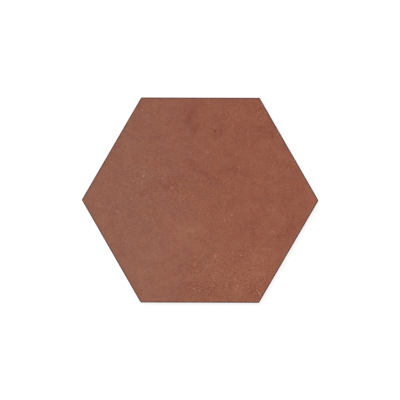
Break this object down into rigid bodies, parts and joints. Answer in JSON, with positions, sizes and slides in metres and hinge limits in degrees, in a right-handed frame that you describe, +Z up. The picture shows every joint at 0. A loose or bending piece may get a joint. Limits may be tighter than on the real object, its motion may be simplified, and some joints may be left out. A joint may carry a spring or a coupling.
{
  "type": "hexagon floor tile",
  "caption": "Flat hexagonal floor tile of matt terracotta-coloured porcelain, with a rounded arris, a drafted edge and a honeycomb of shallow keying pockets in its back.",
  "frame": {"origin": "on the bedding plane, which the border and ribs of the back touch, under the tile's centre", "axes": "+Z up out of the wearing face, +X through two opposite corners, +Y square to two opposite sides"},
  "size_m": [0.2496, 0.2166, 0.009],
  "materials": {
    "terracotta_porcelain": "matte"
  },
  "bodies": {
    "root": {"hexagon_tile": "terracotta_porcelain"}
  },
  "joints": []
}
